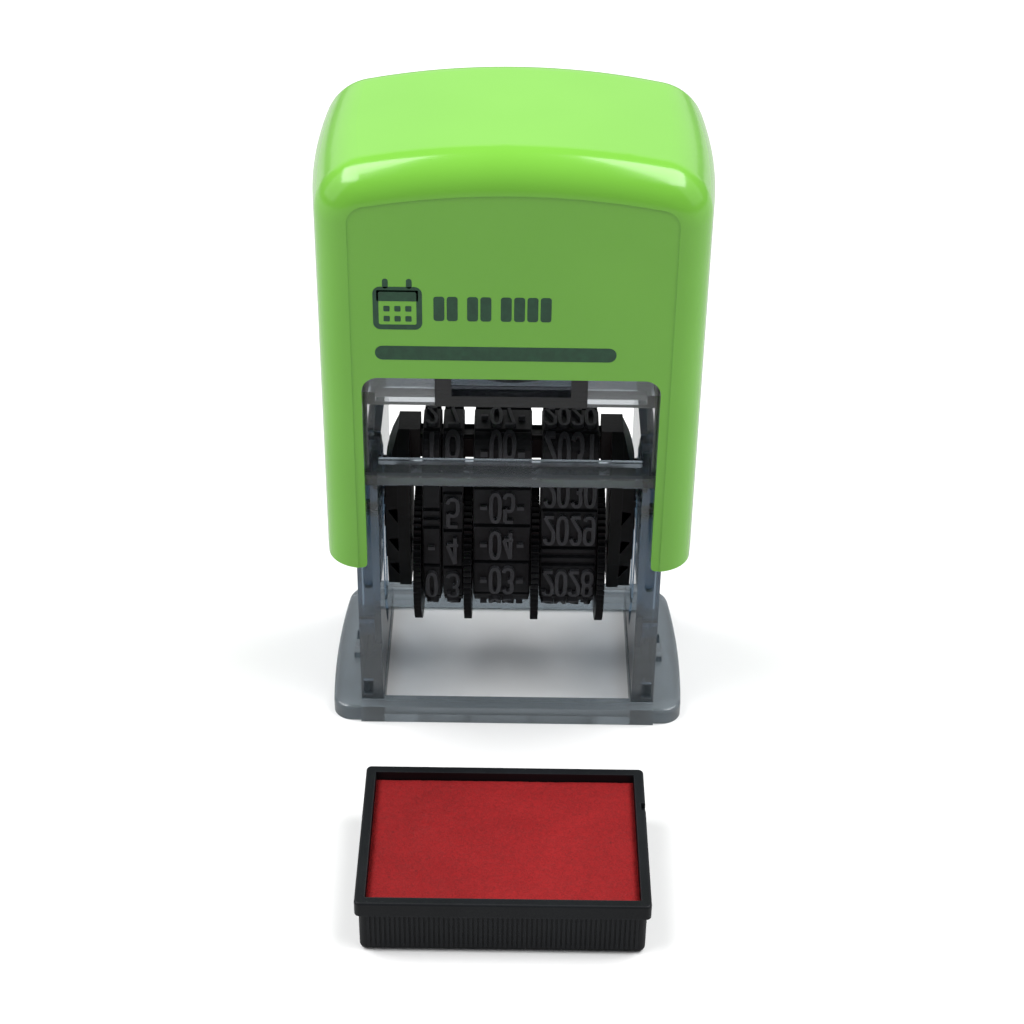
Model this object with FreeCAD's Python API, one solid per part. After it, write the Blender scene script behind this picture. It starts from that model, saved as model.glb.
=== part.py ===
"""Self-inking rotary date stamp with its ink cartridge lying in front of it.

Millimetres, +Z up.  The origin is the middle of the printed date on the paper:
the centre of the opening in the base plate, on the plane that the base stands on.
-Y is the front.  The stamp is modelled at rest, with the cover up and the print
faces turned up towards the empty cartridge slot.
"""
import FreeCAD, Part
import math
import os
from FreeCAD import Vector

os.makedirs("parts", exist_ok=True)

# ---- motion -------------------------------------------------------------
PIVOT_Z = 25.2           # carrier pivot, cover up
PRINT_Z = 35.8           # print face at rest
PRINT_REACH = PRINT_Z - PIVOT_Z
STROKE = PIVOT_Z - PRINT_REACH   # brings the turned print face down to the paper
CAM_RADIUS = 4.0         # cam pin to pivot

# ---- base plate ---------------------------------------------------------
PLATE_HALF_WIDTH = 21.3
PLATE_HALF_DEPTH = 12.6
PLATE_HEIGHT = 2.0
BAR_HALF_DEPTH = 12.9
BAR_HEIGHT = 2.3
OPENING_HALF_WIDTH = 14.9
OPENING_HALF_DEPTH = 10.3

# ---- main frame ---------------------------------------------------------
WALL_INNER = 15.0
WALL_OUTER = 17.65
FRAME_HALF_DEPTH = 11.1
SILL_FRONT = 12.1
SILL_LOW = 33.65
SILL_TOP = 35.4
SLOT_HALF_WIDTH = 15.85
HOUSING_LOW = 43.85
HOUSING_FLOOR = 45.0
HOUSING_TOP = 54.0
HOUSING_FRONT = -9.0     # the floor stops short of the thin front and back walls
CUP_RADIUS = 8.0
CUP_BORE = 6.7
PIN_SLOT_HALF_WIDTH = 1.3
CAM_GROOVE_HALF_WIDTH = 1.0
CAM_GROOVE_DEPTH = 1.2
CAM_STEPS = 12

# ---- cover --------------------------------------------------------------
COVER_HALF_WIDTH = 21.7  # where the bulged sides are widest
SIDE_RADIUS = 90.0       # of the bulge in plan
SIDE_MIDDLE = 2.0        # its centre is a little behind the pivot
COVER_HALF_DEPTH = 14.0
COVER_BOTTOM = 23.7
COVER_TOP = 74.5
COVER_WALL = 1.5
CROWN_RADIUS = 85.0
SHOULDER_RADIUS = 6.0
EDGE_RADIUS = 4.2
PANEL_HALF_WIDTH = 17.2
PANEL_TOP = 70.6
PANEL_DEPTH = 0.12
WINDOW_HALF_WIDTH = 16.2
WINDOW_TOP = 48.9
WINDOW_CORNER = 1.8
BOSS_FACE = 18.1
POST_RADIUS = 3.8
POST_BOTTOM = 61.5

# ---- return spring ------------------------------------------------------
SPRING_RADIUS = 5.0
SPRING_WIRE = 0.45
SPRING_PITCH = 2.9

# ---- carrier ------------------------------------------------------------
CHEEK_INNER = 11.75
CHEEK_STEP = 13.15       # outside this the cheek stands back and has pockets in its edge
CHEEK_OUTER = 14.55
CHEEK_HUB = 14.85
CHEEK_SHELF = 10.55      # a shelf fills the space beside the print bar
CHEEK_TOP = 35.0
CHEEK_BOTTOM = 13.9
PIN_RADIUS = 1.05
CAM_PIN_RADIUS = 0.8
AXLE_RADIUS = 1.0
AXLE_Z = 17.35
BAND_RADIUS = 6.1        # outside of the band on its drum
BAND_THICKNESS = 0.9
BAND_TOP = 34.8          # outside of the band on the print bar
BAND_TOP_HALF_DEPTH = 2.5
BAND_SHOULDER_HALF_DEPTH = 3.9
BAND_SHOULDER_Z = 32.9

# ---- thumb wheels: left edge and right edge of each band and each disc ----
DRUM_RADIUS = 5.0
WHEEL_RADIUS = 9.0
WHEEL_TEETH = 72
TOOTH_DEPTH = 0.35
RUNNING_CLEARANCE = 0.05
SIDE_GAP = 0.12
BANDS = {
    "tens": (-10.3, -8.05),
    "units": (-7.95, -5.4),
    "month": (-4.35, 2.55),
    "year": (3.6, 10.35),
}
DISC_LEFT = {"tens": -11.3, "units": -5.35, "month": 2.6, "year": 10.4}
DISC_THICKNESS = 0.9

# ---- ink cartridge ------------------------------------------------------
TRAY_X = -0.15
TRAY_Y = -40.0
TRAY_HALF_WIDTH = 15.6
TRAY_HALF_DEPTH = 10.9
TRAY_HEIGHT = 7.2
RIM_LOW = 5.4
RIM_OVERHANG = 0.4
TRAY_WALL = 1.1
TRAY_FRONT_WALL = 0.6
TRAY_FLOOR = 1.6
FELT_TOP = 6.5
GRIP_RIBS = 56
GRIP_PITCH = 0.515


def box(x0, x1, y0, y1, z0, z1):
    return Part.makeBox(x1 - x0, y1 - y0, z1 - z0, Vector(x0, y0, z0))


def rod_x(radius, x0, x1, y, z):
    return Part.makeCylinder(radius, x1 - x0, Vector(x0, y, z), Vector(1, 0, 0))


def rod_y(radius, y0, y1, x, z):
    return Part.makeCylinder(radius, y1 - y0, Vector(x, y0, z), Vector(0, 1, 0))


def rod_z(radius, z0, z1, x=0.0, y=0.0):
    return Part.makeCylinder(radius, z1 - z0, Vector(x, y, z0))


def line(start, end):
    return Part.LineSegment(start, end).toShape()


def arc(start, middle, end):
    return Part.Arc(start, middle, end).toShape()


def mirrored(shape):
    return shape.mirror(Vector(0, 0, 0), Vector(1, 0, 0))


def on_both_sides(shape):
    """The shape and its mirror image in the plane x = 0."""
    return [shape, mirrored(shape)]


def front_and_back(shape):
    """The shape and its mirror image in the plane y = 0."""
    return [shape, shape.mirror(Vector(0, 0, 0), Vector(0, 1, 0))]


def export(shape, node):
    solids = shape.removeSplitter().Solids
    Part.makeCompound(solids).exportStep("parts/%s.step" % node)
    print(node, len(solids), "solid(s)", round(sum(solid.Volume for solid in solids), 2), "mm3")


# ---- base plate ---------------------------------------------------------
def plate_blank():
    """Rounded plate, widest near its middle, with larger corners at the back."""
    front_left = Vector(-20.9, -PLATE_HALF_DEPTH, 0)
    back_left = Vector(-20.2, PLATE_HALF_DEPTH, 0)
    front_right = Vector(-front_left.x, front_left.y, 0)
    back_right = Vector(-back_left.x, back_left.y, 0)
    outline = Part.Wire([
        arc(front_left, Vector(-PLATE_HALF_WIDTH, -1.0, 0), back_left),
        line(back_left, back_right),
        arc(back_right, Vector(PLATE_HALF_WIDTH, -1.0, 0), front_right),
        line(front_right, front_left),
    ])
    blank = Part.Face(outline).extrude(Vector(0, 0, PLATE_HEIGHT))
    uprights = [e for e in blank.Edges if abs(e.Vertexes[0].Z - e.Vertexes[-1].Z) > 1]
    blank = blank.makeFillet(2.4, [e for e in uprights if e.CenterOfMass.y < 0])
    uprights = [e for e in blank.Edges if abs(e.Vertexes[0].Z - e.Vertexes[-1].Z) > 1]
    blank = blank.makeFillet(3.2, [e for e in uprights if e.CenterOfMass.y > 12])
    return blank.makeFillet(0.5, [e for e in blank.Edges if e.BoundBox.ZMin > PLATE_HEIGHT - 0.01])


def base_plate():
    plate = plate_blank()
    bar = box(-WALL_OUTER, WALL_OUTER, -BAR_HALF_DEPTH, -11.35, 0, BAR_HEIGHT)
    plate = plate.fuse(front_and_back(bar))
    block = box(WALL_OUTER + 0.25, WALL_OUTER + 1.45, -3.0, -0.3, PLATE_HEIGHT - 0.1, 2.8)
    plate = plate.fuse(on_both_sides(block))
    notch = box(WALL_OUTER + 0.25, WALL_OUTER + 1.45, -0.2, 2.5, -1, PLATE_HEIGHT + 1)
    opening = box(-OPENING_HALF_WIDTH, OPENING_HALF_WIDTH, -OPENING_HALF_DEPTH, OPENING_HALF_DEPTH, -1, 4)
    return plate.cut(on_both_sides(notch) + [opening] + leg_tenons())


def leg_tenons():
    """Four tongues under the side walls, which snap into the base plate."""
    tenon = box(15.7, 16.9, -9.0, -5.0, 0.5, PLATE_HEIGHT + 0.1)
    return [side for end in front_and_back(tenon) for side in on_both_sides(end)]


# ---- main frame ---------------------------------------------------------
def upright_slot(half_width, z_low, z_high, x0, x1):
    slot = box(x0, x1, -half_width, half_width, z_low, z_high)
    return slot.fuse([rod_x(half_width, x0, x1, 0, z_low), rod_x(half_width, x0, x1, 0, z_high)])


def cam_pin_centre(turn):
    """Centre of the cam pin when the carrier has turned by this angle."""
    y = -CAM_RADIUS * math.sin(turn)
    z = PIVOT_Z - STROKE * turn / math.pi + CAM_RADIUS * math.cos(turn)
    return Vector(0, y, z)


def cam_groove():
    """Groove that turns the carrier over: it follows the cam pin through the whole stroke."""
    x0 = WALL_INNER - 0.1
    x1 = WALL_INNER + CAM_GROOVE_DEPTH
    left_side = []
    right_side = []
    for step in range(CAM_STEPS + 1):
        turn = math.pi * step / CAM_STEPS
        centre = cam_pin_centre(turn) + Vector(x0, 0, 0)
        travel = Vector(0, -CAM_RADIUS * math.cos(turn), -STROKE / math.pi - CAM_RADIUS * math.sin(turn))
        across = travel.cross(Vector(1, 0, 0)).normalize() * CAM_GROOVE_HALF_WIDTH
        left_side.append(centre + across)
        right_side.append(centre - across)
    left_curve = Part.BSplineCurve()
    left_curve.interpolate(left_side)
    right_curve = Part.BSplineCurve()
    right_curve.interpolate(right_side)
    outline = Part.Wire([
        left_curve.toShape(),
        line(left_side[-1], right_side[-1]),
        right_curve.toShape(),
        line(right_side[0], left_side[0]),
    ])
    groove = Part.Face(outline).extrude(Vector(x1 - x0, 0, 0))
    ends = [cam_pin_centre(turn) for turn in (0, math.pi)]
    return groove.fuse([rod_x(CAM_GROOVE_HALF_WIDTH, x0, x1, end.y, end.z) for end in ends])


def side_wall():
    """Right-hand wall, from the base plate to the top of the spring housing."""
    wall = box(WALL_INNER, WALL_OUTER, -FRAME_HALF_DEPTH, FRAME_HALF_DEPTH, PLATE_HEIGHT, HOUSING_TOP)
    pin_slot = upright_slot(PIN_SLOT_HALF_WIDTH, PIVOT_Z - STROKE, PIVOT_Z, WALL_INNER - 1, WALL_OUTER + 1)
    cartridge_way = box(WALL_INNER - 1, SLOT_HALF_WIDTH, -FRAME_HALF_DEPTH - 1, 10.1, SILL_TOP, HOUSING_LOW)
    housing_relief = box(WALL_INNER - 1, 16.4, -9.9, 9.9, HOUSING_FLOOR, HOUSING_TOP + 1)
    front_groove = box(15.85, 16.95, -FRAME_HALF_DEPTH - 1, -10.4, 19.2, SILL_LOW)
    groove_end = rod_y(0.55, -FRAME_HALF_DEPTH - 1, -10.4, 16.4, 19.2)
    foot_pocket = box(16.2, 17.35, -FRAME_HALF_DEPTH - 1, -10.5, 2.7, 4.9)
    return wall.cut([pin_slot, cam_groove(), cartridge_way, housing_relief, front_groove, groove_end, foot_pocket])


def housing_face():
    """Front wall of the spring housing: a thick middle block with a window in it."""
    wall = box(-WALL_INNER, WALL_INNER, -FRAME_HALF_DEPTH, -10.0, HOUSING_LOW, HOUSING_TOP)
    block = box(-8.3, 8.3, -FRAME_HALF_DEPTH - 0.25, HOUSING_FRONT, HOUSING_LOW, HOUSING_TOP)
    window = box(-6.55, 6.55, -FRAME_HALF_DEPTH - 1, HOUSING_FRONT + 1, HOUSING_FLOOR + 0.2, 51.5)
    return wall.fuse(block).cut(window)


def main_frame():
    sill = box(-WALL_OUTER, WALL_OUTER, -SILL_FRONT, -9.0, SILL_LOW, SILL_TOP)
    sill = sill.makeChamfer(0.25, [e for e in sill.Edges if e.CenterOfMass.y < -SILL_FRONT + 0.01])
    back_sill = box(-WALL_INNER, WALL_INNER, 9.0, FRAME_HALF_DEPTH, SILL_LOW, SILL_TOP)
    lip = box(-WALL_INNER, WALL_INNER, -9.4, -9.0, SILL_TOP, SILL_TOP + 0.2)
    floor = box(-WALL_INNER, WALL_INNER, HOUSING_FRONT, -HOUSING_FRONT, HOUSING_LOW, HOUSING_FLOOR)
    cup = rod_z(CUP_RADIUS, HOUSING_LOW, HOUSING_TOP)
    cross_rib = box(-WALL_INNER - 1.5, WALL_INNER + 1.5, -0.6, 0.6, HOUSING_LOW, HOUSING_TOP - 3)
    pieces = on_both_sides(side_wall()) + front_and_back(housing_face())
    pieces += [sill, back_sill, lip, floor, cross_rib] + leg_tenons()
    return cup.fuse(pieces).cut(rod_z(CUP_BORE, HOUSING_FLOOR, HOUSING_TOP + 1))


# ---- cover --------------------------------------------------------------
def crowned_block(half_width, half_depth, top, shoulder, bottom):
    """Upright block whose top is an arc across the width, with round shoulders."""
    crown_centre = Vector(0, -half_depth, top - CROWN_RADIUS)
    corner_x = half_width - shoulder
    corner_rise = math.sqrt((CROWN_RADIUS - shoulder) ** 2 - corner_x ** 2)
    corner = Vector(corner_x, -half_depth, crown_centre.z + corner_rise)
    outward = (corner - crown_centre).normalize()
    crown_end = corner + outward * shoulder
    corner_middle = corner + (outward + Vector(1, 0, 0)).normalize() * shoulder
    side_end = corner + Vector(shoulder, 0, 0)
    foot = Vector(half_width, -half_depth, bottom)
    right = [foot, side_end, corner_middle, crown_end]
    left = [Vector(-p.x, p.y, p.z) for p in right]
    outline = Part.Wire([
        line(right[0], right[1]),
        arc(right[1], right[2], right[3]),
        arc(right[3], Vector(0, -half_depth, top), left[3]),
        arc(left[3], left[2], left[1]),
        line(left[1], left[0]),
        line(left[0], right[0]),
    ])
    return Part.Face(outline).extrude(Vector(0, 2 * half_depth, 0))


def crown_slab(half_width, half_depth, top, bottom):
    """Upright block under an arc that runs across the whole width."""
    sag = CROWN_RADIUS - math.sqrt(CROWN_RADIUS ** 2 - half_width ** 2)
    low_right = Vector(half_width, -half_depth, bottom)
    high_right = Vector(half_width, -half_depth, top - sag)
    low_left = Vector(-half_width, -half_depth, bottom)
    high_left = Vector(-half_width, -half_depth, top - sag)
    outline = Part.Wire([
        line(low_right, high_right),
        arc(high_right, Vector(0, -half_depth, top), high_left),
        line(high_left, low_left),
        line(low_left, low_right),
    ])
    return Part.Face(outline).extrude(Vector(0, 2 * half_depth, 0))


def bulged_column(half_width, half_depth, side_radius, bottom, top):
    """Upright column with flat front and back and bulged sides."""
    centre_x = half_width - side_radius
    ends = []
    for y in (-half_depth, half_depth):
        ends.append(Vector(centre_x + math.sqrt(side_radius ** 2 - (y - SIDE_MIDDLE) ** 2), y, bottom))
    front_right, back_right = ends
    front_left = Vector(-front_right.x, front_right.y, bottom)
    back_left = Vector(-back_right.x, back_right.y, bottom)
    outline = Part.Wire([
        arc(front_right, Vector(half_width, SIDE_MIDDLE, bottom), back_right),
        line(back_right, back_left),
        arc(back_left, Vector(-half_width, SIDE_MIDDLE, bottom), front_left),
        line(front_left, front_right),
    ])
    return Part.Face(outline).extrude(Vector(0, 0, top - bottom))


def soft_block(inset, bottom):
    """The cover's body, this far inside its outer surface, with all upper edges rounded over."""
    half_width = COVER_HALF_WIDTH - inset
    half_depth = COVER_HALF_DEPTH - inset
    top = COVER_TOP - inset
    slab = crown_slab(half_width + 1, half_depth, top, bottom)
    block = slab.common(bulged_column(half_width, half_depth, SIDE_RADIUS - inset, bottom, top + 1))
    shoulders = [e for e in block.Edges if abs(e.CenterOfMass.x) > half_width - 1 and e.CenterOfMass.z > top - 5
                 and abs(e.CenterOfMass.y) < half_depth - 1]
    block = block.makeFillet(SHOULDER_RADIUS - inset, shoulders)
    outlines = []
    for edge in block.Edges:
        on_face = all(abs(abs(v.Y) - half_depth) < 0.01 for v in edge.Vertexes)
        across = abs(edge.Vertexes[0].Y - edge.Vertexes[-1].Y) > 0.01
        if on_face and not across and edge.CenterOfMass.z > bottom + 0.01:
            outlines.append(edge)
    return block.makeFillet(EDGE_RADIUS - inset, outlines)


def window_cut():
    """Window through the front wall, open at the bottom, with round top corners."""
    straight = WINDOW_HALF_WIDTH - WINDOW_CORNER
    y0 = -COVER_HALF_DEPTH - 1
    y1 = -COVER_HALF_DEPTH + COVER_WALL + 0.5
    lower = box(-WINDOW_HALF_WIDTH, WINDOW_HALF_WIDTH, y0, y1, COVER_BOTTOM - 1, WINDOW_TOP - WINDOW_CORNER)
    upper = box(-straight, straight, y0, y1, COVER_BOTTOM, WINDOW_TOP)
    corner = rod_y(WINDOW_CORNER, y0, y1, straight, WINDOW_TOP - WINDOW_CORNER)
    return lower.fuse([upper] + on_both_sides(corner))


def panel_recess():
    """Shallow field on the front face, bounded by the rounded rim."""
    field = crowned_block(PANEL_HALF_WIDTH, 1.0, PANEL_TOP, 2.0, COVER_BOTTOM - 1)
    field.translate(Vector(0, -COVER_HALF_DEPTH - 1.0 + PANEL_DEPTH, 0))
    return field


def cover():
    outside = soft_block(0, COVER_BOTTOM)
    inside = soft_block(COVER_WALL, COVER_BOTTOM - 1)
    shell = outside.cut([inside] + front_and_back(window_cut()) + front_and_back(panel_recess()))
    bottoms = [edge for edge in shell.Edges if is_window_foot(edge)]
    shell = shell.makeFillet(0.6, bottoms)
    boss = box(BOSS_FACE, COVER_HALF_WIDTH - 1.0, -3.2, 3.2, COVER_BOTTOM, 46.0)
    post = rod_z(POST_RADIUS, POST_BOTTOM, COVER_TOP - 1.0)
    shell = shell.fuse(on_both_sides(boss) + [post])
    bore = rod_x(PIN_RADIUS + RUNNING_CLEARANCE, BOSS_FACE - 1, COVER_HALF_WIDTH - 0.6, 0, PIVOT_Z)
    return shell.cut(on_both_sides(bore))


def is_window_foot(edge):
    """True for the short edges at the bottom corners of the windows."""
    centre = edge.CenterOfMass
    across_wall = abs(edge.Vertexes[0].Y - edge.Vertexes[-1].Y) > 0.5
    at_jamb = abs(abs(centre.x) - WINDOW_HALF_WIDTH) < 0.01
    return across_wall and at_jamb and centre.z < COVER_BOTTOM + 0.01


# ---- return spring ------------------------------------------------------
def return_spring():
    low = HOUSING_FLOOR + 0.05
    high = COVER_TOP - COVER_WALL - 0.05
    helix = Part.makeHelix(SPRING_PITCH, high - low - 2 * SPRING_WIRE, SPRING_RADIUS)
    helix.translate(Vector(0, 0, low + SPRING_WIRE))
    start = Vector(SPRING_RADIUS, 0, low + SPRING_WIRE)
    climb = Vector(0, 2 * math.pi * SPRING_RADIUS, SPRING_PITCH)
    section = Part.Wire(Part.Edge(Part.Circle(start, climb, SPRING_WIRE)))
    return Part.Wire(helix.Edges).makePipeShell([section], True, True)


# ---- carrier ------------------------------------------------------------
def cheek_outline(inset):
    corners = [(2.0, CHEEK_TOP), (4.6, 31.5), (5.4, PIVOT_Z), (4.7, 18.0), (3.7, CHEEK_BOTTOM)]
    right = [(y - inset, z) for y, z in corners]
    left = [(-y, z) for y, z in reversed(right)]
    return right + left


def prism_x(outline, x0, x1):
    corners = [Vector(x0, y, z) for y, z in outline]
    return Part.Face(Part.makePolygon(corners + corners[:1])).extrude(Vector(x1 - x0, 0, 0))


def edge_pocket(middle):
    """Three-cornered pocket in the front edge of the cheek, wide at the step and closed outside."""
    corners = [(CHEEK_STEP, middle - 1.1), (CHEEK_STEP, middle + 1.1), (CHEEK_OUTER - 0.2, middle + 0.9)]
    points = [Vector(x, -6.0, z) for x, z in corners]
    return Part.Face(Part.makePolygon(points + points[:1])).extrude(Vector(0, 3.4, 0))


def shoulder_bevel():
    """Wedge that slopes the upper outside of the cheek."""
    corners = [(CHEEK_OUTER - 1.5, CHEEK_TOP + 0.1), (CHEEK_HUB + 0.1, CHEEK_TOP + 0.1), (CHEEK_HUB + 0.1, 28.6)]
    points = [Vector(x, -8, z) for x, z in corners]
    return Part.Face(Part.makePolygon(points + points[:1])).extrude(Vector(0, 16, 0))


def right_cheek():
    """Side plate of the carrier, stiffened by ribs that run out from the pivot."""
    rim = prism_x(cheek_outline(0), CHEEK_INNER, CHEEK_STEP)
    plate = prism_x(cheek_outline(0.4), CHEEK_STEP, CHEEK_OUTER)
    cone = Part.makeCone(11.0, 2.6, CHEEK_HUB - CHEEK_OUTER, Vector(CHEEK_OUTER, 0, PIVOT_Z), Vector(1, 0, 0))
    ribs = []
    for angle in range(0, 180, 36):
        rib = box(CHEEK_OUTER, CHEEK_HUB, -0.4, 0.4, -12, 12)
        rib.rotate(Vector(0, 0, 0), Vector(1, 0, 0), angle)
        rib.translate(Vector(0, 0, PIVOT_Z))
        ribs.append(rib)
    field = prism_x(cheek_outline(0.4), CHEEK_OUTER, CHEEK_HUB)
    spider = ribs[0].fuse(ribs[1:]).common(cone).common(field)
    hub = rod_x(2.6, CHEEK_OUTER, CHEEK_HUB, 0, PIVOT_Z)
    cam_pin = rod_x(CAM_PIN_RADIUS, CHEEK_OUTER, WALL_INNER + 1.0, 0, PIVOT_Z + CAM_RADIUS)
    shelf = box(CHEEK_SHELF, CHEEK_INNER + 0.1, -2.0, 2.0, 31.0, CHEEK_TOP)
    front = [edge_pocket(middle) for middle in (24.7, 20.3, 16.4)]
    pockets = front_and_back(front[0].fuse(front[1:]))
    cheek = rim.fuse([plate, spider, hub, shelf]).cut([shoulder_bevel()] + pockets).fuse(cam_pin)
    pin_hole = rod_x(PIN_RADIUS, CHEEK_INNER + 0.3, CHEEK_HUB + 1, 0, PIVOT_Z)
    axle_hole = rod_x(AXLE_RADIUS, CHEEK_INNER - 1, CHEEK_OUTER + 1, 0, AXLE_Z)
    return cheek.cut([pin_hole, axle_hole, print_bar(), tie_rod()])


def right_pivot_pin():
    pin = rod_x(PIN_RADIUS, CHEEK_INNER + 0.3, COVER_HALF_WIDTH - 0.8, 0, PIVOT_Z)
    return pin.makeChamfer(0.2, [e for e in pin.Edges if e.CenterOfMass.x > COVER_HALF_WIDTH - 0.81])


def print_bar():
    """Bar that the bands run over; its two ridges press the type onto the paper."""
    top = BAND_TOP - BAND_THICKNESS
    ends = CHEEK_INNER + 0.8
    bar = box(-ends, ends, -1.6, 1.6, 31.0, top - 0.35)
    ridges = [rod_x(0.35, -ends, ends, y, top - 0.4) for y in (-1.1, 1.1)]
    return bar.fuse(ridges)


def tie_rod():
    return rod_x(0.8, -CHEEK_OUTER, CHEEK_OUTER, 0, PIVOT_Z + 2.0)


def wheel_axle():
    return rod_x(AXLE_RADIUS, -CHEEK_OUTER, CHEEK_OUTER, 0, AXLE_Z)


def band_outline(x, inset):
    """Closed loop round the drum, up both runs and over the print bar."""
    radius = BAND_RADIUS - inset
    shoulder = Vector(x, BAND_SHOULDER_HALF_DEPTH - inset, BAND_SHOULDER_Z)
    top = Vector(x, BAND_TOP_HALF_DEPTH - inset * 0.6, BAND_TOP - inset)
    drum = Vector(x, radius, AXLE_Z)
    run_height = shoulder.z - drum.z
    run_inset = drum.y - shoulder.y
    run_radius = (run_height ** 2 + run_inset ** 2) / (2 * run_inset)
    half_way = AXLE_Z + run_height / 2
    bulge = drum.y - run_radius + math.sqrt(run_radius ** 2 - (run_height / 2) ** 2)
    run = Vector(x, bulge, half_way)
    corner = Vector(x, top.y + 0.75 * (shoulder.y - top.y), shoulder.z + 0.72 * (top.z - shoulder.z))
    back = [drum, run, shoulder, corner, top]
    front = [Vector(p.x, -p.y, p.z) for p in back]
    return Part.Wire([
        arc(back[0], back[1], back[2]),
        arc(back[2], back[3], back[4]),
        line(back[4], front[4]),
        arc(front[4], front[3], front[2]),
        arc(front[2], front[1], front[0]),
        arc(front[0], Vector(x, 0, AXLE_Z - radius), back[0]),
    ])


def band(name):
    left, right = BANDS[name]
    width = Vector(right - left - SIDE_GAP, 0, 0)
    x = left + SIDE_GAP / 2
    outside = Part.Face(band_outline(x, 0)).extrude(width)
    inside = Part.Face(band_outline(x, BAND_THICKNESS)).extrude(width)
    return outside.cut(inside)


# ---- thumb wheels -------------------------------------------------------
def serrated_disc(x0, x1):
    outline = []
    for step in range(2 * WHEEL_TEETH):
        radius = WHEEL_RADIUS - TOOTH_DEPTH * (step % 2)
        angle = math.pi * step / WHEEL_TEETH
        outline.append((radius * math.sin(angle), AXLE_Z + radius * math.cos(angle)))
    return prism_x(outline, x0, x1)


def thumb_wheel(name):
    """Serrated disc beside a band, in one piece with the drum that drives the band."""
    disc_left = DISC_LEFT[name]
    disc_right = disc_left + DISC_THICKNESS
    band_left, band_right = BANDS[name]
    drum_left = min(disc_left, band_left)
    drum_right = max(disc_right, band_right)
    wheel = serrated_disc(disc_left, disc_right).fuse(rod_x(DRUM_RADIUS, drum_left, drum_right, 0, AXLE_Z))
    bore = rod_x(AXLE_RADIUS + RUNNING_CLEARANCE, drum_left - 1, drum_right + 1, 0, AXLE_Z)
    return wheel.cut(bore)


# ---- ink cartridge ------------------------------------------------------
def tray_block(inset, z0, z1, radius):
    block = box(TRAY_X - TRAY_HALF_WIDTH + inset, TRAY_X + TRAY_HALF_WIDTH - inset,
                TRAY_Y - TRAY_HALF_DEPTH + inset, TRAY_Y + TRAY_HALF_DEPTH - inset, z0, z1)
    uprights = [e for e in block.Edges if abs(e.Vertexes[0].Z - e.Vertexes[-1].Z) > 0.01]
    return block.makeFillet(radius, uprights)


def felt_space(gap, z0, z1):
    return box(TRAY_X - TRAY_HALF_WIDTH + TRAY_WALL + gap, TRAY_X + TRAY_HALF_WIDTH - TRAY_WALL - gap,
               TRAY_Y - TRAY_HALF_DEPTH + TRAY_FRONT_WALL + RIM_OVERHANG + gap,
               TRAY_Y + TRAY_HALF_DEPTH - TRAY_WALL - gap, z0, z1)


def pad_tray():
    body = tray_block(RIM_OVERHANG, 0, RIM_LOW + 0.1, 0.8)
    body = body.makeFillet(0.6, [e for e in body.Edges if e.CenterOfMass.z < 0.01])
    rim = tray_block(0, RIM_LOW, TRAY_HEIGHT, 0.6)
    rim = rim.makeFillet(0.25, [e for e in rim.Edges if e.CenterOfMass.z > TRAY_HEIGHT - 0.01])
    front = TRAY_Y - TRAY_HALF_DEPTH + RIM_OVERHANG
    ribs = []
    for index in range(GRIP_RIBS):
        x = TRAY_X + GRIP_PITCH * (index - (GRIP_RIBS - 1) / 2)
        ribs.append(box(x - 0.13, x + 0.13, front - 0.22, front + 0.2, 0.9, RIM_LOW))
    notch = box(TRAY_X + TRAY_HALF_WIDTH - 0.5, TRAY_X + TRAY_HALF_WIDTH + 1, TRAY_Y + 4.0, TRAY_Y + 5.2, 6.4, 8)
    return body.fuse([rim] + ribs).cut([felt_space(0, TRAY_FLOOR, TRAY_HEIGHT + 1), notch])


def felt_pad():
    felt = felt_space(0.05, TRAY_FLOOR, FELT_TOP)
    return felt.makeFillet(0.3, [e for e in felt.Edges if e.CenterOfMass.z > FELT_TOP - 0.01])


export(base_plate(), "base_plate")
export(main_frame(), "main_frame")
export(cover(), "cover")
export(return_spring(), "return_spring")
export(right_cheek(), "right_cheek")
export(mirrored(right_cheek()), "left_cheek")
export(right_pivot_pin(), "right_pivot_pin")
export(mirrored(right_pivot_pin()), "left_pivot_pin")
export(print_bar(), "print_bar")
export(tie_rod(), "tie_rod")
export(wheel_axle(), "wheel_axle")
for band_name in BANDS:
    export(band(band_name), band_name + "_band")
    export(thumb_wheel(band_name), band_name + "_wheel")
export(pad_tray(), "pad_tray")
export(felt_pad(), "felt_pad")
print("stroke", round(STROKE, 3), "mm")
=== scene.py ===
"""Looks of the self-inking rotary date stamp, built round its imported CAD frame."""
import math

import bmesh
import bpy
import numpy as np
from mathutils import Matrix, Quaternion, Vector, noise


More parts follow.
